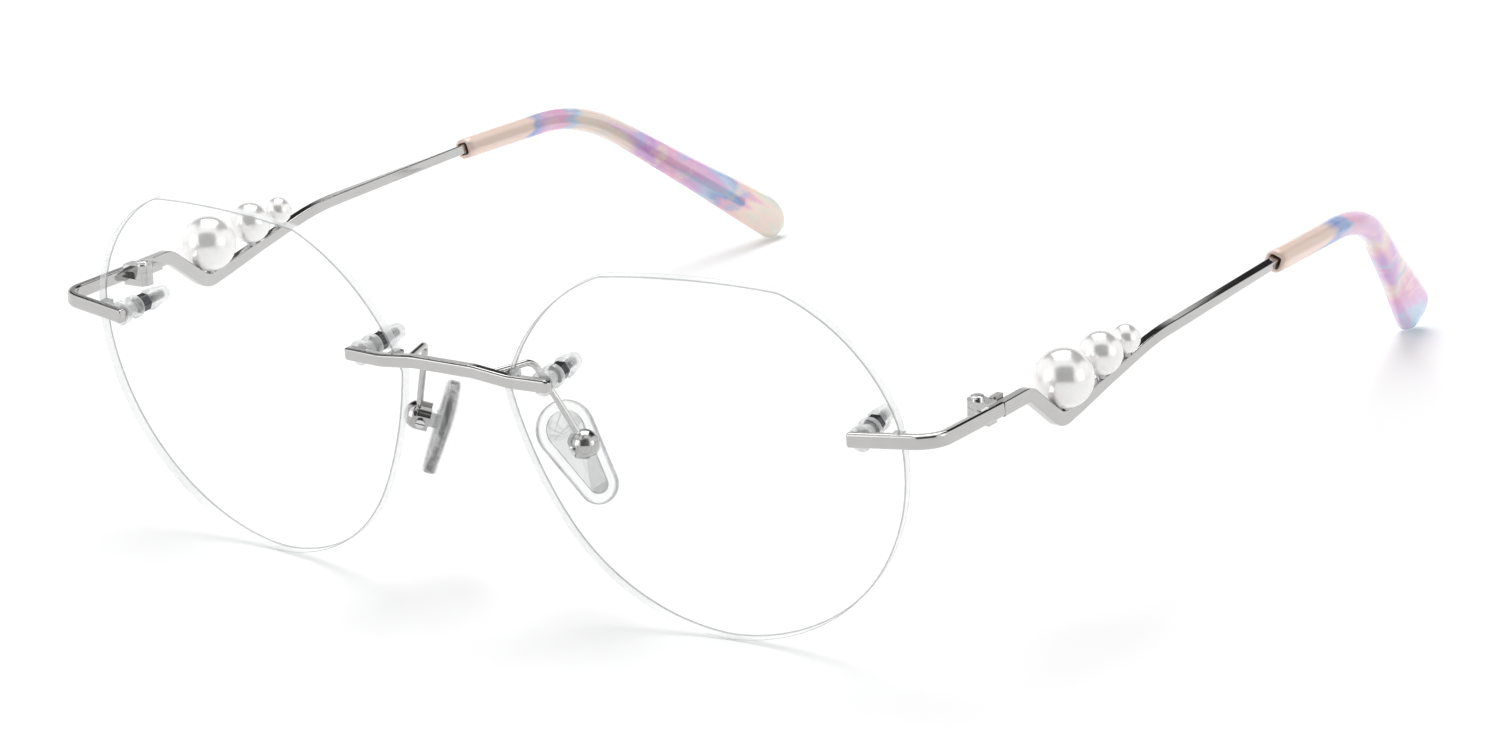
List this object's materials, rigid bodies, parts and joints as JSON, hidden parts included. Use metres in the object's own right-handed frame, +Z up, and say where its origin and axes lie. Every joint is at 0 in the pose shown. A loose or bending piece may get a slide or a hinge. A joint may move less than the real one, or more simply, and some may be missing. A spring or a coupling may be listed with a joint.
{
  "type": "rimless eyeglasses",
  "caption": "Rimless eyeglasses: faceted round clear lenses, silver bridge and folding temples with pearl trim, pastel translucent ear tips, adjustable silicone nose pads",
  "frame": {"origin": "centre of the footprint, on the surface the glasses rest on, with the temples open", "axes": "+Y runs from the lenses back along the temples, +Z is up, +X is the wearer's left"},
  "size_m": [0.1384, 0.1548, 0.0469],
  "materials": {
    "lens_clear": "clear polished lens, light grey at the edge",
    "clear_plastic": "clear moulded plastic",
    "pad_silicone": "clear soft silicone",
    "polished_metal": "polished silver plate",
    "insert_steel": "stamped stainless plate",
    "screw_steel": "polished small screws",
    "dark_steel": "darker turned steel with thread",
    "bead_nacre": "white pearl lustre",
    "tip_acetate": "translucent pastel watercolour acetate"
  },
  "bodies": {
    "front": {"bridge": "polished_metal", "left_bridge_clear_cap": "clear_plastic", "left_bridge_front_washer": "clear_plastic", "left_bridge_notch_tab": "polished_metal", "left_bridge_nut": "dark_steel", "left_bridge_rear_bushing": "clear_plastic", "left_bridge_stud": "dark_steel", "left_endpiece": "polished_metal", "left_endpiece_clear_cap": "clear_plastic", "left_endpiece_front_washer": "clear_plastic", "left_endpiece_notch_tab": "polished_metal", "left_endpiece_nut": "dark_steel", "left_endpiece_rear_bushing": "clear_plastic", "left_endpiece_stud": "dark_steel", "left_front_knuckles": "polished_metal", "left_hinge_screw": "screw_steel", "left_lens": "lens_clear", "left_pad_arm": "polished_metal", "left_pad_cup": "polished_metal", "left_pad_screw": "screw_steel", "right_bridge_clear_cap": "clear_plastic", "right_bridge_front_washer": "clear_plastic", "right_bridge_notch_tab": "polished_metal", "right_bridge_nut": "dark_steel", "right_bridge_rear_bushing": "clear_plastic", "right_bridge_stud": "dark_steel", "right_endpiece": "polished_metal", "right_endpiece_clear_cap": "clear_plastic", "right_endpiece_front_washer": "clear_plastic", "right_endpiece_notch_tab": "polished_metal", "right_endpiece_nut": "dark_steel", "right_endpiece_rear_bushing": "clear_plastic", "right_endpiece_stud": "dark_steel", "right_front_knuckles": "polished_metal", "right_hinge_screw": "screw_steel", "right_lens": "lens_clear", "right_pad_arm": "polished_metal", "right_pad_cup": "polished_metal", "right_pad_screw": "screw_steel"},
    "left_temple": {"left_bead_large": "bead_nacre", "left_bead_middle": "bead_nacre", "left_bead_pegs": "polished_metal", "left_bead_small": "bead_nacre", "left_rear_knuckle": "polished_metal", "left_temple_bar": "polished_metal", "left_temple_tip": "tip_acetate"},
    "right_temple": {"right_bead_large": "bead_nacre", "right_bead_middle": "bead_nacre", "right_bead_pegs": "polished_metal", "right_bead_small": "bead_nacre", "right_rear_knuckle": "polished_metal", "right_temple_bar": "polished_metal", "right_temple_tip": "tip_acetate"},
    "left_pad": {"left_nose_pad": "pad_silicone", "left_pad_insert": "insert_steel"},
    "right_pad": {"right_nose_pad": "pad_silicone", "right_pad_insert": "insert_steel"}
  },
  "joints": [
    {"name": "left_fold", "type": "hinge", "parent": "front", "child": "left_temple", "pos_m": [0.06325, -0.05771, 0.0299], "axis": [0, 0, 1], "range_deg": [0, 90]},
    {"name": "right_fold", "type": "hinge", "parent": "front", "child": "right_temple", "pos_m": [-0.06325, -0.05771, 0.0299], "axis": [0, 0, -1], "range_deg": [0, 80]},
    {"name": "left_pad_rock", "type": "hinge", "parent": "front", "child": "left_pad", "pos_m": [0.01237, -0.06609, 0.02056], "axis": [0.4695, 0.8204, 0.3264], "range_deg": [-10, 10]},
    {"name": "right_pad_rock", "type": "hinge", "parent": "front", "child": "right_pad", "pos_m": [-0.01237, -0.06609, 0.02056], "axis": [-0.4695, 0.8204, 0.3264], "range_deg": [-10, 10]}
  ]
}
